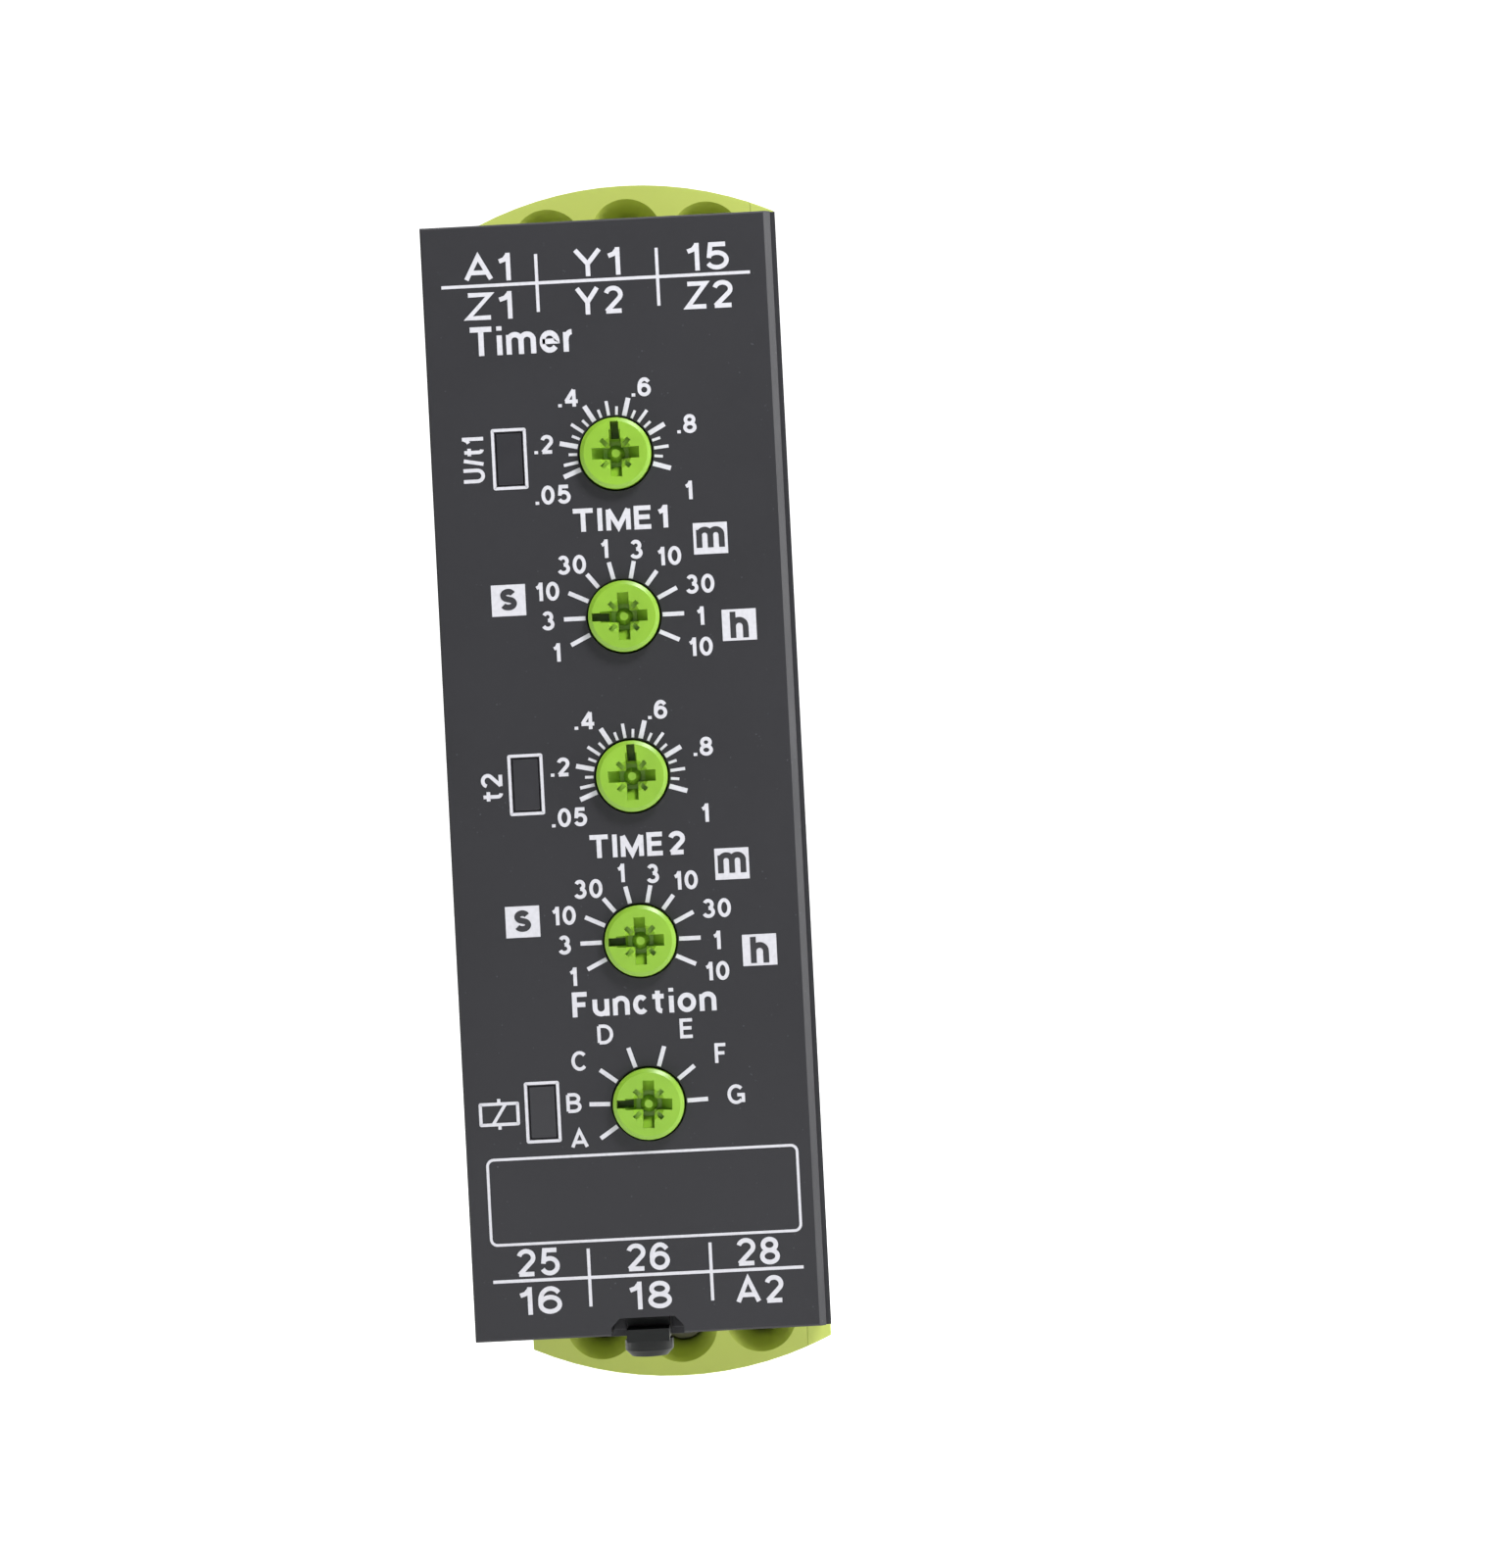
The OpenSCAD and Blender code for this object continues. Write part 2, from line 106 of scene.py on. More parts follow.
def noise(tree, size, detail=2.0, roughness=0.5, stretch=None):
    """A noise texture whose features are about size metres across, in the object's own space."""
    coords = node(tree, "ShaderNodeTexCoord")
    source = coords.outputs["Object"]
    if stretch:
        mapping = node(tree, "ShaderNodeMapping")
        mapping.inputs["Scale"].default_value = stretch
        tree.links.new(source, mapping.inputs["Vector"])
        source = mapping.outputs["Vector"]
    tex = node(tree, "ShaderNodeTexNoise")
    tex.inputs["Scale"].default_value = 1.0 / size
    tex.inputs["Detail"].default_value = detail
    tex.inputs["Roughness"].default_value = roughness
    tree.links.new(source, tex.inputs["Vector"])
    return tex.outputs["Fac"]


def ramp(tree, source, low, high, colour_low, colour_high):
    made = node(tree, "ShaderNodeValToRGB")
    made.color_ramp.elements[0].position = low
    made.color_ramp.elements[1].position = high
    made.color_ramp.elements[0].color = (*colour_low, 1)
    made.color_ramp.elements[1].color = (*colour_high, 1)
    tree.links.new(source, made.inputs["Fac"])
    return made.outputs["Color"]


def span(tree, source, low, high):
    """Maps a 0 to 1 texture onto low to high."""
    made = node(tree, "ShaderNodeMapRange")
    made.inputs["To Min"].default_value = low
    made.inputs["To Max"].default_value = high
    tree.links.new(source, made.inputs["Value"])
    return made.outputs["Result"]


def bump(tree, shader, source, depth, before=None):
    made = node(tree, "ShaderNodeBump")
    made.inputs["Distance"].default_value = depth
    made.inputs["Strength"].default_value = 1.0
    tree.links.new(source, made.inputs["Height"])
    if before is not None:
        tree.links.new(before, made.inputs["Normal"])
    tree.links.new(made.outputs["Normal"], shader.inputs["Normal"])
    return made.outputs["Normal"]


def tint(colour, factor):
    return tuple(min(1.0, channel * factor) for channel in colour)


def plastic(name, colour, rough, grain=0.12, grain_depth=0.004, cloud=8, vary=0.06, soft=0.0,
            specular=0.5):
    """Moulded plastic: spark-eroded grain, slow clouding of the colour and uneven gloss. Sizes in mm."""
    mat, tree, shader = new_material(name)
    clouds = noise(tree, cloud * MM, 3)
    tree.links.new(ramp(tree, clouds, 0.3, 0.7, tint(colour, 1 - vary), tint(colour, 1 + vary)),
                   shader.inputs["Base Color"])
    tree.links.new(span(tree, noise(tree, cloud * 0.4 * MM, 4), rough - 0.06, rough + 0.08),
                   shader.inputs["Roughness"])
    bump(tree, shader, noise(tree, grain * MM, 3, 0.6), grain_depth * MM)
    shader.inputs["Specular IOR Level"].default_value = specular
    if soft:
        shader.inputs["Subsurface Weight"].default_value = soft
        shader.inputs["Subsurface Radius"].default_value = (0.5, 0.6, 0.2)
        shader.inputs["Subsurface Scale"].default_value = 0.8 * MM
    return mat


def speckled_face(name, colour, rough):
    """The cap's plastic: a dark satin with a fine pale speckle in its grain."""
    mat = plastic(name, colour, rough, grain=0.16, grain_depth=0.005, cloud=14, vary=0.08, specular=0.35)
    tree = mat.node_tree
    shader = tree.nodes["Principled BSDF"]
    plain = shader.inputs["Base Color"].links[0].from_socket
    dots = node(tree, "ShaderNodeTexVoronoi", feature="F1")
    dots.inputs["Scale"].default_value = 1 / (0.32 * MM)
    coords = node(tree, "ShaderNodeTexCoord")
    tree.links.new(coords.outputs["Object"], dots.inputs["Vector"])
    mask = ramp(tree, dots.outputs["Distance"], 0.10, 0.22, (1, 1, 1), (0, 0, 0))
    some = ramp(tree, noise(tree, 0.9 * MM, 2), 0.60, 0.72, (0, 0, 0), (0.5, 0.5, 0.5))
    both = node(tree, "ShaderNodeMix", data_type="RGBA", blend_type="MULTIPLY")
    both.inputs["Factor"].default_value = 1
    tree.links.new(mask, both.inputs["A"])
    tree.links.new(some, both.inputs["B"])
    mix = node(tree, "ShaderNodeMix", data_type="RGBA")
    tree.links.new(both.outputs["Result"], mix.inputs["Factor"])
    tree.links.new(plain, mix.inputs["A"])
    mix.inputs["B"].default_value = (*tint(colour, 4.5), 1)
    tree.links.new(mix.outputs["Result"], shader.inputs["Base Color"])
    return mat


def metal(name, colour, rough, stretch=(1, 1, 1), grain=0.1, depth=0.002):
    """Plated or rolled metal: fine drawn lines along one axis and a mottled sheen."""
    mat, tree, shader = new_material(name)
    lines = noise(tree, grain * MM, 4, 0.7, stretch)
    mottle = noise(tree, 1.5 * MM, 3)
    tree.links.new(ramp(tree, mottle, 0.3, 0.7, tint(colour, 0.88), tint(colour, 1.06)),
                   shader.inputs["Base Color"])
    tree.links.new(span(tree, lines, rough - 0.08, rough + 0.14), shader.inputs["Roughness"])
    bump(tree, shader, lines, depth * MM)
    shader.inputs["Metallic"].default_value = 1.0
    return mat


def ink(name, colour, rough=0.45):
    """Printed ink: slightly uneven cover with a faint grain."""
    mat, tree, shader = new_material(name)
    cover = noise(tree, 0.25 * MM, 3)
    tree.links.new(ramp(tree, cover, 0.25, 0.6, tint(colour, 0.9), colour), shader.inputs["Base Color"])
    tree.links.new(span(tree, cover, rough - 0.05, rough + 0.08), shader.inputs["Roughness"])
    bump(tree, shader, cover, 0.002 * MM)
    return mat


def board(name, colour):
    """A printed circuit board: solder mask over a faint weave."""
    mat, tree, shader = new_material(name)
    weave = noise(tree, 0.35 * MM, 1, 0.4)
    tree.links.new(ramp(tree, noise(tree, 3 * MM, 2), 0.4, 0.62, tint(colour, 0.8), tint(colour, 1.25)),
                   shader.inputs["Base Color"])
    bump(tree, shader, weave, 0.004 * MM)
    shader.inputs["Roughness"].default_value = 0.32
    return mat


def wound_wire(name, colour, pitch):
    """Enamelled wire wound round a bobbin that lies along Y, with painted shade in the grooves between
    turns.
    """
    mat, tree, shader = new_material(name)
    coords = node(tree, "ShaderNodeTexCoord")
    waves = node(tree, "ShaderNodeTexWave", wave_type="BANDS", bands_direction="Y", wave_profile="SIN")
    waves.inputs["Scale"].default_value = 1 / (pitch * MM) / 3.14
    tree.links.new(coords.outputs["Object"], waves.inputs["Vector"])
    # painted shade: the grooves between turns are darkened to half the wire's colour
    tree.links.new(ramp(tree, waves.outputs["Fac"], 0.1, 0.8, tint(colour, 0.5), colour),
                   shader.inputs["Base Color"])
    bump(tree, shader, waves.outputs["Fac"], 0.05 * MM)
    shader.inputs["Roughness"].default_value = 0.3
    return mat


HOUSING_GREEN = (0.405, 0.465, 0.105)
KNOB_GREEN = (0.205, 0.39, 0.026)
CAP_DARK = (0.018, 0.018, 0.0215)
MATERIALS = {
    "housing_green": plastic("housing_green", HOUSING_GREEN, 0.42, 0.14, 0.004, 10, 0.02, soft=0.1),
    "cap_black": speckled_face("cap_black", CAP_DARK, 0.50),
    "latch_black": plastic("latch_black", (0.006, 0.007, 0.007), 0.42, 0.1, 0.002, 3, specular=0.22),
    "foot_black": plastic("foot_black", (0.022, 0.023, 0.026), 0.42, 0.14, 0.004, 6),
    "knob_green": plastic("knob_green", KNOB_GREEN, 0.36, 0.1, 0.003, 2.5, 0.07, soft=0.05),
    "window_smoke": plastic("window_smoke", (0.02, 0.02, 0.024), 0.3, 0.3, 0.0015, 4, 0.05),
    "board_green": board("board_green", (0.012, 0.12, 0.045)),
    "trimmer_blue": plastic("trimmer_blue", (0.02, 0.05, 0.22), 0.35, 0.1, 0.002, 3),
    "led_white": plastic("led_white", (0.75, 0.74, 0.66), 0.3, 0.1, 0.001, 2, soft=0.2),
    "header_black": plastic("header_black", (0.02, 0.02, 0.02), 0.45, 0.1, 0.002, 3),
    # The screws' dark base colour is partly the zinc plating's own grey and partly painted shade, so that
    # they look shaded deep in the funnels.
    "screw_steel": metal("screw_steel", (0.20, 0.19, 0.165), 0.40, (1, 1, 1), 0.2, 0.004),
    "clamp_steel": metal("clamp_steel", (0.70, 0.69, 0.64), 0.3, (1, 8, 1), 0.3, 0.003),
    "contact_brass": metal("contact_brass", (0.80, 0.62, 0.30), 0.25, (1, 1, 6), 0.3, 0.002),
    "spring_steel": metal("spring_steel", (0.62, 0.62, 0.63), 0.22, (1, 1, 1), 0.2, 0.001),
    "relay_case": plastic("relay_case", (0.03, 0.05, 0.055), 0.28, 0.12, 0.002, 6),
    "relay_base": plastic("relay_base", (0.06, 0.06, 0.06), 0.45, 0.12, 0.003, 4),
    "relay_iron": metal("relay_iron", (0.6, 0.6, 0.6), 0.35, (1, 6, 1), 0.3, 0.003),
    "relay_coil": wound_wire("relay_coil", (0.55, 0.20, 0.05), 0.2),
    "transformer_grey": plastic("transformer_grey", (0.09, 0.09, 0.095), 0.4, 0.2, 0.006, 5),
    "capacitor_sleeve": plastic("capacitor_sleeve", (0.03, 0.04, 0.16), 0.22, 0.4, 0.001, 5),
    "varistor_blue": plastic("varistor_blue", (0.03, 0.09, 0.42), 0.25, 0.5, 0.01, 3),
    "chip_black": plastic("chip_black", (0.015, 0.015, 0.016), 0.5, 0.08, 0.003, 3),
}
WHITE_INK = ink("white_ink", (0.55, 0.55, 0.59))
DARK_INK = ink("dark_ink", (0.02, 0.02, 0.024))
LABEL_FILM = ink("label_film", (0.50, 0.51, 0.50), 0.4)


def dress_cad_nodes():
    """Every carried-over CAD node takes the material of its slot in the record."""
    for part in RECORD["subparts"]:
        obj = NODES[part["node"]]
        material = MATERIALS[part["material_slot"]]
        if not obj.material_slots:
            obj.data.materials.append(material)
        for used in obj.material_slots:
            used.material = material


def soften(name, width, segments=3, angle=32):
    """Rounds a moulded CAD node's edges by width millimetres."""
    obj = NODES[name]
    weld = obj.modifiers.new("weld", "WELD")
    weld.merge_threshold = 1e-6
    planar = obj.modifiers.new("planar", "DECIMATE")
    planar.decimate_type = "DISSOLVE"
    planar.angle_limit = math.radians(0.5)
    bevel = obj.modifiers.new("edges", "BEVEL")
    bevel.width = width * MM
    bevel.segments = segments
    bevel.limit_method = "ANGLE"
    bevel.angle_limit = math.radians(angle)
    bevel.harden_normals = True
    bevel.use_clamp_overlap = True


# ---------------------------------------------------------------- the foot's return spring
def foot_spring(turns=6.5, steps_a_turn=28, sides=14, wire=0.2 * MM):
    """A smooth wire helix in the CAD spring's place."""
    low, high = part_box("foot_spring")
    centre_x, centre_y = (low[0] + high[0]) / 2, (low[1] + high[1]) / 2
    radius = (high[0] - low[0]) / 2 - wire
    rise = high[2] - low[2] - 2 * wire
    steps = round(turns * steps_a_turn)
    mesh = bmesh.new()
    rings = []
    for i in range(steps + 1):
        a = math.tau * turns * i / steps
        z = low[2] + wire + rise * i / steps
        ring = []
        for j in range(sides):
            b = math.tau * j / sides
            r = radius + wire * math.cos(b)
            place = (centre_x + r * math.cos(a), centre_y + r * math.sin(a), z + wire * math.sin(b))
            ring.append(mesh.verts.new(place))
        rings.append(ring)
    for first, second in zip(rings, rings[1:]):
        for j in range(sides):
            k = (j + 1) % sides
            mesh.faces.new((first[j], first[k], second[k], second[j])).smooth = True
    mesh.faces.new(rings[0])
    mesh.faces.new(rings[-1][::-1])
    bmesh.ops.recalc_face_normals(mesh, faces=mesh.faces)
    spring = new_object("foot_return_spring", mesh, MATERIALS["spring_steel"])
    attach(spring, ROOT)
    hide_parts("foot_spring")
    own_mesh(spring)


# ---------------------------------------------------------------- lettering
def arc(x, y, rx, ry, start, end):
    """Points on an ellipse about (x, y), one for every 15 degrees or so."""
    steps = max(2, round(abs(end - start) / 15))
    angles = [math.radians(start + (end - start) * i / steps) for i in range(steps + 1)]
    return [(x + rx * math.cos(a), y + ry * math.sin(a)) for a in angles]


def rounded(x0, x1, z0, z1, radius):
    """A rectangle's outline with rounded corners."""
    return (arc(x1 - radius, z0 + radius, radius, radius, -90, 0)
            + arc(x1 - radius, z1 - radius, radius, radius, 0, 90)
            + arc(x0 + radius, z1 - radius, radius, radius, 90, 180)
            + arc(x0 + radius, z0 + radius, radius, radius, 180, 270))


STEM = [(0, 0), (0, 1)]
LOW = 0.72  # height of the small letters, over that of the capitals
LOW_LETTERS = "cemnorsu"
LETTER_GAP = 0.13
# Each sign: its width over the capitals' height, then its strokes' middle lines in a unit square
GLYPHS = {
    "0": (0.70, [arc(0.5, 0.5, 0.5, 0.5, 90, 450)]),
    "1": (0.46, [[(0, 0.74), (0.5, 0.82), (0.86, 1.02)], [(0.86, 1.1), (0.86, -0.1)]]),
    "2": (0.70, [arc(0.5, 0.72, 0.47, 0.28, 165, -35) + [(0.04, 0)], [(0, 0), (1, 0)]]),
    "3": (0.68, [arc(0.46, 0.75, 0.40, 0.25, 155, -85), arc(0.46, 0.26, 0.5, 0.27, 85, -158)]),
    "4": (0.78, [[(0.72, -0.1), (0.72, 1)], [(0.72, 1), (0, 0.26)], [(-0.08, 0.24), (1.05, 0.24)]]),
    "5": (0.72, [[(0.95, 1), (0.18, 1), (0.08, 0.42)], arc(0.48, 0.32, 0.5, 0.32, 138, -155)]),
    "6": (0.70, [arc(0.5, 0.31, 0.5, 0.31, 90, 450), arc(0.54, 0.5, 0.54, 0.5, 38, 180) + [(0, 0.31)]]),
    "8": (0.70, [arc(0.5, 0.76, 0.42, 0.24, 90, 450), arc(0.5, 0.26, 0.5, 0.26, 90, 450)]),
    "A": (0.90, [[(0, 0), (0.5, 1), (1, 0)], [(0.16, 0.30), (0.84, 0.30)]]),
    "B": (0.76, [STEM, [(0, 1)] + arc(0.5, 0.76, 0.42, 0.24, 90, -90) + [(0, 0.52)],
                 arc(0.5, 0.26, 0.5, 0.26, 90, -90) + [(0, 0)]]),
    "C": (0.84, [arc(0.5, 0.5, 0.5, 0.5, 42, 318)]),
    "D": (0.80, [STEM, [(0, 1)] + arc(0.4, 0.5, 0.6, 0.5, 90, -90) + [(0, 0)]]),
    "E": (0.72, [[(1, 1), (0, 1), (0, 0), (1, 0)], [(0, 0.52), (0.92, 0.52)]]),
    "F": (0.62, [[(1.05, 1), (0, 1), (0, -0.1)], [(0, 0.50), (0.9, 0.50)]]),
    "G": (0.88, [arc(0.5, 0.5, 0.5, 0.5, 42, 318), [(0.58, 0.46), (1, 0.46), (1, 0)]]),
    "I": (0.20, [[(0.5, -0.1), (0.5, 1.1)]]),
    "M": (0.92, [[(0, -0.1), (0, 1)], [(1, -0.1), (1, 1)], [(0, 1), (0.5, 0.05), (1, 1)]]),
    "T": (0.80, [[(-0.1, 1), (1.1, 1)], [(0.5, 1), (0.5, -0.1)]]),
    "U": (0.78, [[(0, 1.1)] + arc(0.5, 0.34, 0.5, 0.34, 180, 360) + [(1, 1.1)]]),
    "Y": (0.86, [[(0, 1.06), (0.5, 0.44), (1, 1.06)], [(0.5, 0.46), (0.5, -0.1)]]),
    "Z": (0.76, [[(0.03, 1), (1, 1), (0, 0), (1, 0)]]),
    "c": (0.58, [arc(0.5, 0.36, 0.5, 0.36, 42, 318)]),
    "e": (0.68, [[(0, 0.37), (1, 0.37)] + arc(0.5, 0.36, 0.5, 0.36, 8, 322)]),
    "h": (0.66, [[(0, -0.1), (0, 1.1)], arc(0.5, 0.44, 0.5, 0.28, 180, 0) + [(1, -0.1)]]),
    "i": (0.20, [[(0.5, -0.1), (0.5, LOW)], [(0.5, 0.92), (0.5, 1.1)]]),
    "m": (1.02, [[(0, -0.1), (0, LOW)], arc(0.25, 0.48, 0.25, 0.24, 180, 0) + [(0.5, -0.1)],
                 arc(0.75, 0.48, 0.25, 0.24, 180, 0) + [(1, -0.1)]]),
    "n": (0.62, [[(0, -0.1), (0, LOW)], arc(0.5, 0.44, 0.5, 0.28, 180, 0) + [(1, -0.1)]]),
    "o": (0.68, [arc(0.5, 0.36, 0.5, 0.36, 90, 450)]),
    "r": (0.42, [[(0, -0.1), (0, LOW)], arc(0.8, 0.34, 0.8, 0.38, 172, 84)]),
    "s": (0.62, [arc(0.48, 0.55, 0.44, 0.17, 22, 250) + arc(0.48, 0.18, 0.5, 0.18, 78, -155)]),
    "t": (0.48, [[(0.4, 1)] + arc(0.9, 0.18, 0.5, 0.18, 180, 268), [(-0.25, LOW), (1.15, LOW)]]),
    "u": (0.62, [[(0, LOW)] + arc(0.5, 0.28, 0.5, 0.28, 180, 360), [(1, LOW), (1, -0.1)]]),
    "/": (0.40, [[(0, -0.05), (1, 1.05)]]),
    ".": (0.20, [[(0.5, -0.1), (0.5, 0.1)]]),
}


class Print:
    """Collects flat printed shapes, each a thin closed slab, on a plane seen along its normal."""

    def __init__(self, name, material, origin, right, normal, lift=INK):
        self.name = name
        self.material = material
        self.mesh = bmesh.new()
        self.origin = Vector(origin)
        self.right = Vector(right)
        self.normal = Vector(normal)
        self.lift = lift
        self.shapes = 0

    def corner(self, point, raised):
        """A vertex at (right, up) in millimetres, on the raised side or sunk in the surface."""
        place = self.origin + self.right * point[0] * MM + Vector((0, 0, point[1] * MM))
        layer = LAYER * (self.shapes % 5)
        height = self.lift + layer if raised else -0.5 * INK - layer
        return self.mesh.verts.new(place + self.normal * height)

    def slab(self, points):
        self.shapes += 1
        front = [self.corner(p, True) for p in points]
        back = [self.corner(p, False) for p in points]
        self.mesh.faces.new(front)
        self.mesh.faces.new(back[::-1])
        for i in range(len(points)):
            j = (i + 1) % len(points)
            self.mesh.faces.new((front[j], front[i], back[i], back[j]))

    def block(self, x, z, width, height):
        w, h = width / 2, height / 2
        self.slab([(x - w, z - h), (x + w, z - h), (x + w, z + h), (x - w, z + h)])

    def stroke(self, points, width):
        """A band along a line of points; a line that ends where it starts closes into a ring."""
        self.shapes += 1
        path = [Vector(p) for p in points]
        closed = (path[0] - path[-1]).length < 1e-6
        if closed:
            path.pop()
        count = len(path)
        rows = []
        for i, point in enumerate(path):
            steps = []
            if closed or i > 0:
                steps.append((point - path[i - 1]).normalized())
            if closed or i < count - 1:
                steps.append((path[(i + 1) % count] - point).normalized())
            along = sum(steps, Vector((0, 0))).normalized()
            side = Vector((-along.y, along.x))
            reach = side * (width / 2 / max(0.45, along.dot(steps[0])))
            edges = ((1, True), (1, False), (-1, True), (-1, False))
            rows.append([self.corner(point + s * reach, raised) for s, raised in edges])
        for i in range(count if closed else count - 1):
            a, b = rows[i], rows[(i + 1) % count]
            for p, q in ((0, 2), (2, 3), (3, 1), (1, 0)):
                self.mesh.faces.new((a[p], a[q], b[q], b[p]))
        if not closed:
            for row in (rows[0], rows[-1]):
                self.mesh.faces.new((row[0], row[2], row[3], row[1]))

    def outline(self, x0, x1, z0, z1, width, radius):
        """A rectangular line with rounded corners."""
        points = rounded(x0, x1, z0, z1, radius)
        self.stroke(points + points[:1], width)

    def text(self, words, x, z, height, width=None, turn=0, weight=0.18):
        """Words centred on (x, z); a given width stretches the letters and the gaps alike."""
        signs = [GLYPHS[letter] for letter in words]
        plain = sum(sign[0] for sign in signs) + LETTER_GAP * (len(signs) - 1)
        stretch = width / height / plain if width else 1
        cursor = -plain * stretch / 2
        middle = LOW / 2 if all(letter in LOW_LETTERS for letter in words) else 0.5
        c, s = math.cos(math.radians(turn)), math.sin(math.radians(turn))
        for sign, paths in signs:
            wide = sign * stretch
            for path in paths:
                line = []
                for px, py in path:
                    u = height * (cursor + weight / 2 + px * (wide - weight))
                    v = height * (weight / 2 + py * (1 - weight) - middle)
                    line.append((x + u * c - v * s, z + u * s + v * c))
                self.stroke(line, weight * height)
            cursor += wide + LETTER_GAP * stretch

    def finish(self):
        bmesh.ops.recalc_face_normals(self.mesh, faces=self.mesh.faces)
        obj = new_object(self.name, self.mesh, self.material)
        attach(obj, ROOT)


# ---------------------------------------------------------------- printing on the face
def centre(node_name):
    low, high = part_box(node_name)
    return (low[0] + high[0]) / 2 / MM, (low[2] + high[2]) / 2 / MM


def tick(sheet, dial, angle, inner, outer, width):
    a = math.radians(angle)
    ends = [(dial[0] + r * math.cos(a), dial[1] + r * math.sin(a)) for r in (inner, outer)]
    sheet.stroke(ends, width)


TICK_START = 2.44  # just outside a knob's hole
SWITCH_TICK = 0.27  # width of the marks at a switch's positions
RANGE_STEP, FUNCTION_STEP = 25.7, 35.2  # degrees from one position to the next


def number_marks(sheet, dial, labels, height=1.2, weight=0.19):
    """Labels at their offsets from the dial's centre."""
    for words, right, up in labels:
        sheet.text(words, dial[0] + right, dial[1] + up, height, weight=weight)


def fine_scale(sheet, dial):
    """Twenty marks from .05 to 1 round a fine-setting knob, six of them long and numbered."""
    at_point_two, sweep = 167, 231
    for step in range(1, 21):
        angle = at_point_two - (step * 0.05 - 0.2) * sweep
        if step in (1, 4, 8, 12, 16, 20):
            tick(sheet, dial, angle, TICK_START, 3.6, 0.3)
        elif step % 2 == 0:
            tick(sheet, dial, angle, TICK_START, 3.37, 0.2)
        else:
            tick(sheet, dial, angle, TICK_START, 2.98, 0.17)
    number_marks(sheet, dial, [(".05", -4.1, -2.4), (".2", -4.52, 0.8), (".4", -2.82, 3.68),
                               (".6", 1.8, 4.12), (".8", 4.56, 1.65), ("1", 4.48, -2.54)])


def range_scale(sheet, dial):
    """Ten positions: four of seconds, four of minutes and two of hours."""
    for index in range(10):
        outer = 3.55 if index in (3, 4, 5, 6) else 3.8
        tick(sheet, dial, 90 + (4.5 - index) * RANGE_STEP, TICK_START, outer, SWITCH_TICK)
    seconds = [("1", -4.36, -2.06), ("3", -4.8, -0.03), ("10", -4.78, 1.82), ("30", -3.14, 3.43)]
    minutes = [("1", -1.02, 4.33), ("3", 0.99, 4.2), ("10", 3.03, 3.68), ("30", 4.9, 1.82)]
    hours = [("1", 4.82, -0.2), ("10", 4.73, -2.14)]
    number_marks(sheet, dial, seconds + minutes + hours)


def function_scale(sheet, dial):
    """Seven positions, lettered from A to G in place of the photo's mode names."""
    for index in range(7):
        tick(sheet, dial, 213 - index * FUNCTION_STEP, TICK_START, 3.75, SWITCH_TICK)
    modes = [("A", -4.48, -2.0), ("B", -4.73, 0.28), ("C", -4.23, 2.91), ("D", -2.53, 4.51),
             ("E", 2.64, 4.63), ("F", 4.7, 2.97), ("G", 5.53, 0.32)]
    number_marks(sheet, dial, modes, 1.25, 0.17)


def label_width(label):
    """The printed width of a two-sign terminal label."""
    return 3.05 if label[0] in "AYZ" else 2.75


def terminal_rows(sheet, upper, lower, z, ends, uprights):
    """Two rows of terminal numbers parted by a line and two upright marks."""
    height, weight, line, reach = 1.74, 0.165, 0.2, 1.83
    for x, top, bottom in zip((-7.04, -0.1, 6.85), upper, lower):
        sheet.text(top, x, z + 1.13, height, label_width(top), weight=weight)
        sheet.text(bottom, x, z - 1.29, height, label_width(bottom), weight=weight)
    sheet.stroke([(ends[0], z), (ends[1], z)], line)
    for x in uprights:
        sheet.stroke([(x, z - reach), (x, z + reach)], line)


def relay_symbol(sheet, x0, x1, z0, z1):
    """A coil box with a slanted line through it and a lead at each end."""
    line, lead = 0.2, 0.32
    sheet.outline(x0, x1, z0, z1, line, 0.03)
    sheet.stroke([(x0 + 0.75, z0), (x1 - 0.75, z1)], line)
    middle = (x0 + x1) / 2
    sheet.stroke([(middle, z1), (middle, z1 + lead)], line)
    sheet.stroke([(middle, z0 - lead), (middle, z0)], line)


def print_face():
    """Everything printed on the dark face: white marks, and dark unit letters on white blocks."""
    origin, right, normal = (0, FACE_Y, 0), (1, 0, 0), (0, -1, 0)
    sheet = Print("face_print", WHITE_INK, origin, right, normal)
    letters = Print("unit_letters", DARK_INK, origin, right, normal, 1.6 * INK)
    terminal_rows(sheet, ("A1", "Y1", "15"), ("Z1", "Y2", "Z2"), 31.42, (-10.03, 9.5), (-3.98, 3.65))
    terminal_rows(sheet, ("25", "26", "28"), ("16", "18", "A2"), -31.47, (-9.94, 9.68), (-3.85, 3.85))
    sheet.text("Timer", -5.08, 27.9, 1.85, 6.7)
    for name, label_z in (("time1", 16.29), ("time2", -4.34)):
        fine_scale(sheet, centre("knob_" + name))
        sheet.text(name.upper(), 0.55, label_z, 1.5, 6.1, weight=0.2)
    for name in ("range1", "range2"):
        range_scale(sheet, centre("knob_" + name))
    function_scale(sheet, centre("knob_function"))
    sheet.text("Function", 0.48, -14.25, 1.6, 9.1, weight=0.19)
    for word, x, z in (("m", 6.15, 14.76), ("s", -6.79, 11.48), ("h", 7.69, 9.21),
                       ("m", 6.46, -5.83), ("s", -6.93, -8.84), ("h", 7.93, -11.35)):
        sheet.block(x, z, 2.16, 1.98)
        letters.text(word, x, z, 1.75, weight=0.21)
    window_x, _ = centre("light_guides")
    for z in WINDOW_ROWS:
        sheet.outline(window_x - 1.015, window_x + 1.015, z - 1.84, z + 1.84, 0.19, 0.05)
    sheet.text("U/t1", -8.55, 20.46, 1.35, 2.95, 90, 0.17)
    sheet.text("t2", -8.44, -0.26, 1.35, None, 90, 0.17)
    relay_symbol(sheet, -10.2, -7.84, -21.55, -20.25)
    sheet.outline(-9.93, 9.64, -29.16, -23.77, 0.17, 0.4)
    sheet.finish()
    letters.finish()


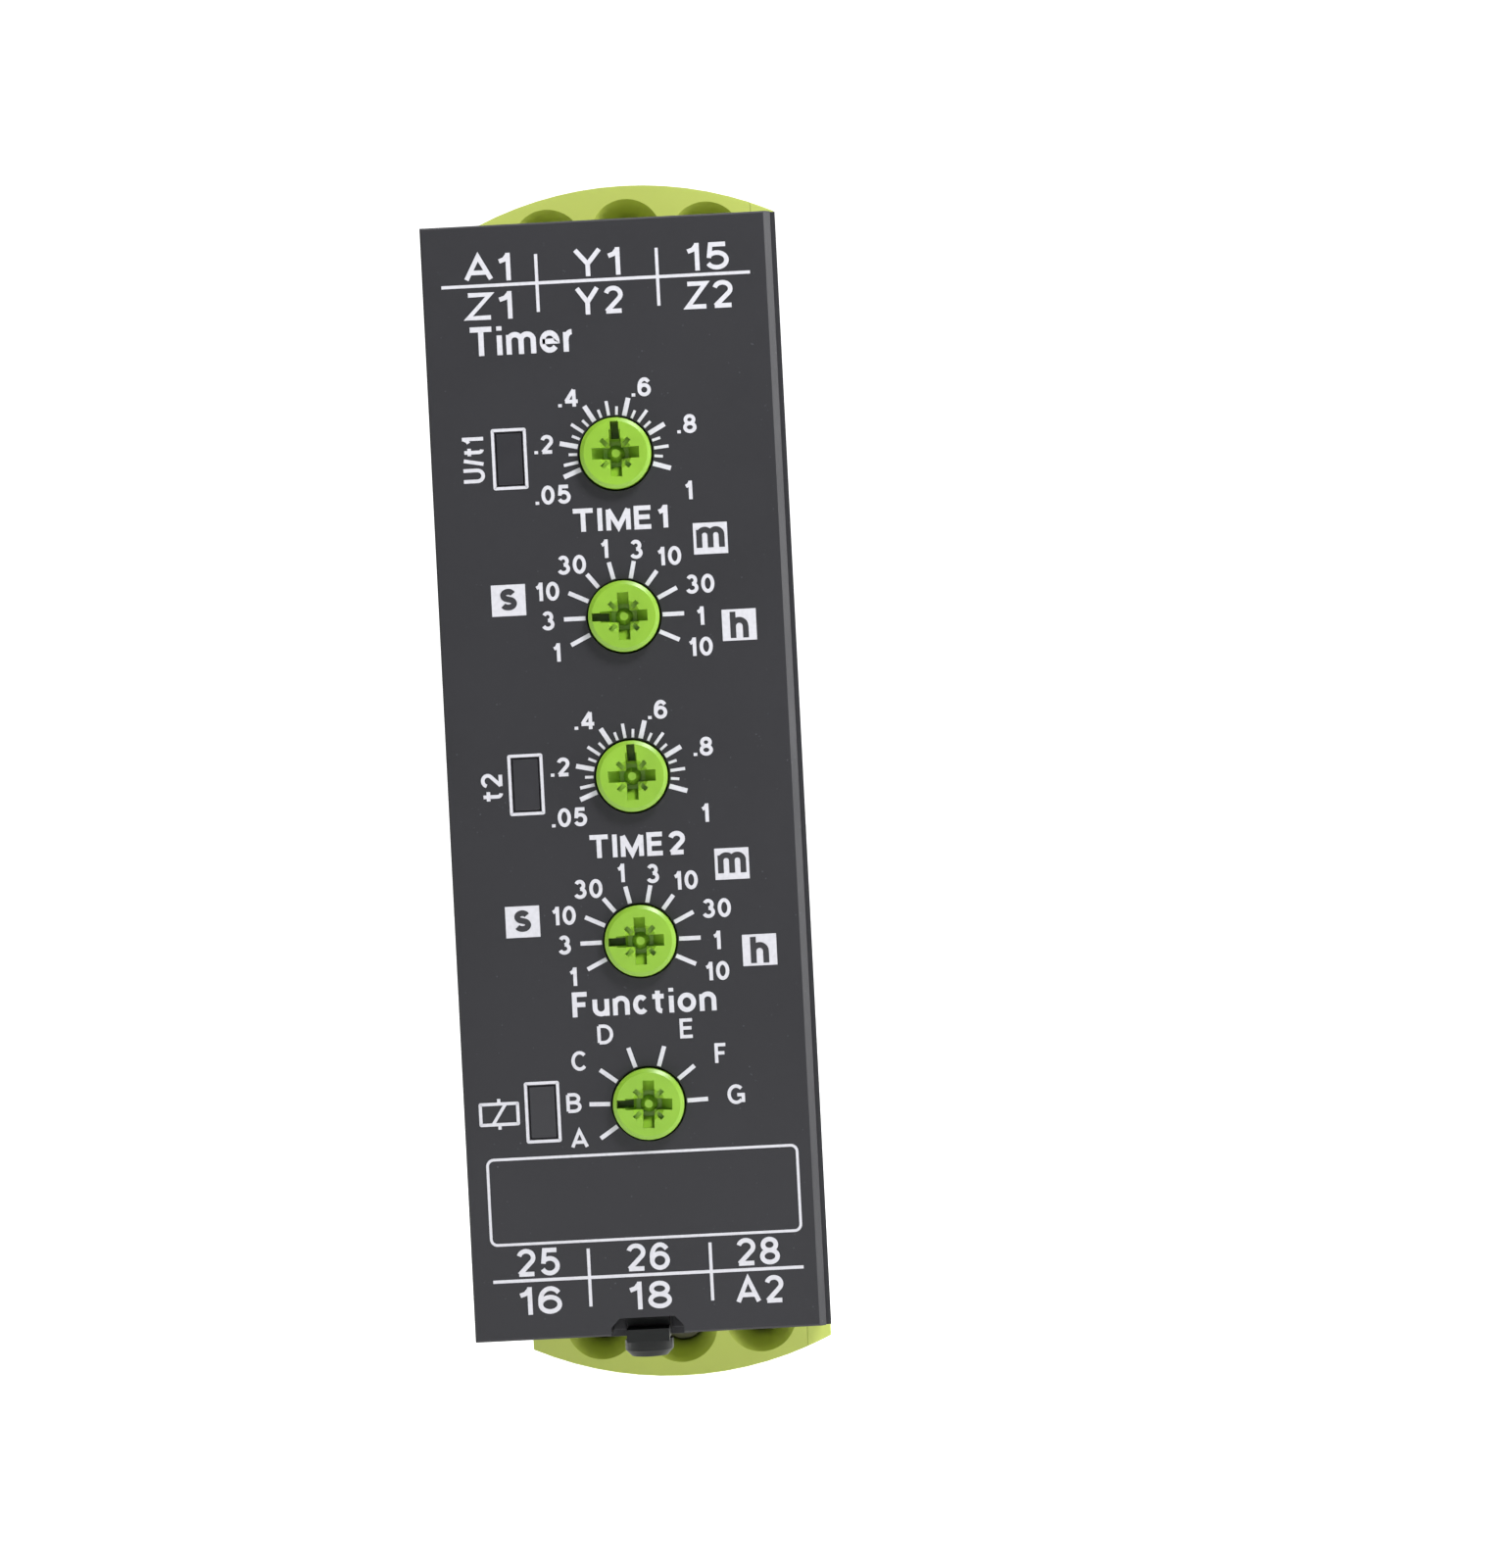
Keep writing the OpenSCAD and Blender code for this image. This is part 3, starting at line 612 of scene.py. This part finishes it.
# ---------------------------------------------------------------- wiring label on the right side
LINE = 0.28
LETTERS, LETTER_WEIGHT = 2.0, 0.13


def changeover(sheet, x, common, rest, worked):
    """A changeover contact: the common lead on top, the contact at rest on the left."""
    sheet.text(common, x, 8.6, LETTERS, weight=LETTER_WEIGHT)
    sheet.stroke([(x, 7), (x, 3.4)], LINE)
    sheet.stroke([(x, 3.4), (x - 2.1, -0.6)], LINE)
    for side, words in ((-1, rest), (1, worked)):
        sheet.stroke([(x + side * 2.6, -0.9), (x + side * 2.6, -3.6)], LINE)
        sheet.stroke([(x + side * 1.9, -0.9), (x + side * 3.3, -0.9)], LINE)
        sheet.text(words, x + side * 2.6, -5.2, LETTERS, weight=LETTER_WEIGHT)


def supply_coil(sheet, x):
    sheet.text("A1", x, 8.6, LETTERS, weight=LETTER_WEIGHT)
    sheet.stroke([(x, 7), (x, 3.2)], LINE)
    sheet.outline(x - 2.4, x + 2.4, 0.2, 3.2, LINE, 0.05)
    sheet.stroke([(x - 1, 0.2), (x + 1, 3.2)], LINE)
    sheet.stroke([(x, 0.2), (x, -3.6)], LINE)
    sheet.text("A2", x, -5.2, LETTERS, weight=LETTER_WEIGHT)


def control_inputs(sheet):
    """A switch between Y1 and Y2, and a remote resistor between Z1 and Z2."""
    z = -11.2
    for words, x in (("Y1", -16.2), ("Y2", -4.6), ("Z1", 4.6), ("Z2", 16.2)):
        sheet.text(words, x, z, LETTERS, weight=LETTER_WEIGHT)
    sheet.stroke([(-14, z), (-11.8, z)], LINE)
    sheet.stroke([(-11.8, z), (-9, z + 1.5)], LINE)
    sheet.stroke([(-9, z), (-6.8, z)], LINE)
    sheet.stroke([(6.8, z), (8.2, z)], LINE)
    sheet.outline(8.2, 12.6, z - 0.8, z + 0.8, LINE, 0.05)
    sheet.stroke([(12.6, z), (14, z)], LINE)


def label_side():
    """A printed film in the side cover's shallow recess, which is 42 by 36 mm."""
    recess_x, middle_y = SIDE_X - 0.2 * MM, -69 * MM
    film_top = 0.1 * MM
    right, normal = (0, 1, 0), (1, 0, 0)
    film = Print("side_label", LABEL_FILM, (recess_x, middle_y, 0), right, normal, film_top)
    film.slab(rounded(-20.6, 20.6, -17.6, 17.6, 1.2))
    film.finish()
    sheet = Print("side_label_print", DARK_INK, (recess_x + film_top, middle_y, 0), right, normal)
    sheet.outline(-19.4, 19.4, -16.4, 16.4, 0.25, 0.6)
    sheet.text("Timer", -12.4, 13.4, 2.6, weight=0.16)
    sheet.stroke([(-19.4, 11), (19.4, 11)], 0.2)
    sheet.stroke([(-19.4, -8), (19.4, -8)], 0.2)
    supply_coil(sheet, -13.6)
    changeover(sheet, 0, "15", "16", "18")
    changeover(sheet, 13, "25", "26", "28")
    control_inputs(sheet)
    sheet.finish()


# ---------------------------------------------------------------- studio
def pale_stage():
    """A pale floor that curves up into a backdrop behind the object, less bright towards the front."""
    mat, tree, shader = new_material("studio_white")
    place = node(tree, "ShaderNodeSeparateXYZ")
    tree.links.new(node(tree, "ShaderNodeTexCoord").outputs["Object"], place.inputs["Vector"])
    glow = node(tree, "ShaderNodeMapRange", interpolation_type="SMOOTHSTEP")
    for key, value in (("From Min", -0.6), ("From Max", -0.12), ("To Min", 0.45), ("To Max", 0.85)):
        glow.inputs[key].default_value = value
    tree.links.new(place.outputs["Y"], glow.inputs["Value"])
    tree.links.new(glow.outputs["Result"], shader.inputs["Emission Strength"])
    shader.inputs["Base Color"].default_value = (0.6, 0.6, 0.6, 1)
    shader.inputs["Roughness"].default_value = 0.9
    shader.inputs["Emission Color"].default_value = (1, 1, 1, 1)
    floor_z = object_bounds()[0].z - 4 * MM  # below the rail foot, pulled out by 3 mm
    radius, back, half = 0.35, 0.5, 3.0
    front, top = -4.0, 3.0
    profile = [(front, floor_z), (back, floor_z)]
    for step in range(1, 13):
        a = math.radians(step * 7.5)
        profile.append((back + radius * math.sin(a), floor_z + radius * (1 - math.cos(a))))
    profile.append((back + radius, top))
    mesh = bmesh.new()
    rows = [[mesh.verts.new((x, y, z)) for x in (-half, half)] for y, z in profile]
    for first, second in zip(rows, rows[1:]):
        mesh.faces.new((first[0], first[1], second[1], second[0])).smooth = True
    floor = new_object("studio_floor", mesh, mat)


def area_light(name, place, target, size, power):
    light = bpy.data.lights.new(name, "AREA")
    light.shape = "DISK"
    light.size = size
    light.energy = power
    obj = bpy.data.objects.new(name, light)
    obj.location = place
    obj.rotation_euler = (Vector(target) - Vector(place)).to_track_quat("-Z", "Y").to_euler()
    bpy.context.scene.collection.objects.link(obj)


WORLD_LIGHT = 0.25


def studio_lights():
    """A dim white surround, with soft lamps in front, at the right and above."""
    world = bpy.data.worlds.new("studio")
    world.use_nodes = True
    background = world.node_tree.nodes["Background"]
    background.inputs["Color"].default_value = (1, 1, 1, 1)
    background.inputs["Strength"].default_value = WORLD_LIGHT
    bpy.context.scene.world = world
    area_light("key", (0.11, -0.24, 0.22), (0, -0.1, 0.02), 0.08, 0.9)
    area_light("side", (0.5, -0.1, 0.05), (0, -0.1, 0), 0.3, 1.9)
    area_light("top", (0.05, 0.05, 0.7), (0, -0.05, 0), 0.4, 1.6)


def photo_camera():
    """Looks at the face from 300 mm, a little right of it, rolled so that the object leans left."""
    distance, right_of, below = 300 * MM, 10.98 * MM, 2.01 * MM
    yaw, pitch, roll = math.radians(0.561), math.radians(0.215), math.radians(-2.92)
    data = bpy.data.cameras.new("photo_camera")
    data.sensor_width = 36
    data.lens = 109.12
    forward = Vector((-math.sin(yaw) * math.cos(pitch), math.cos(yaw) * math.cos(pitch), math.sin(pitch)))
    right = Vector((math.cos(yaw), math.sin(yaw), 0))
    up = right.cross(forward)
    turned_right = right * math.cos(roll) + up * math.sin(roll)
    turned_up = up * math.cos(roll) - right * math.sin(roll)
    axes = Matrix((turned_right, turned_up, -forward)).transposed()
    camera = bpy.data.objects.new("photo_camera", data)
    camera.matrix_world = Matrix.Translation((right_of, FACE_Y - distance, -below)) @ axes.to_4x4()
    bpy.context.scene.collection.objects.link(camera)
    bpy.context.scene.camera = camera


photo_camera()
dress_cad_nodes()
soften("housing_shell", 0.35)
soften("side_cover", 0.35)
soften("front_cap", 0.08, 2)
soften("front_latch", 0.12)
soften("rail_foot", 0.2)
soften("light_guides", 0.05, 2)
foot_spring()
print_face()
label_side()
pale_stage()
studio_lights()
bpy.context.scene.view_settings.view_transform = "Standard"
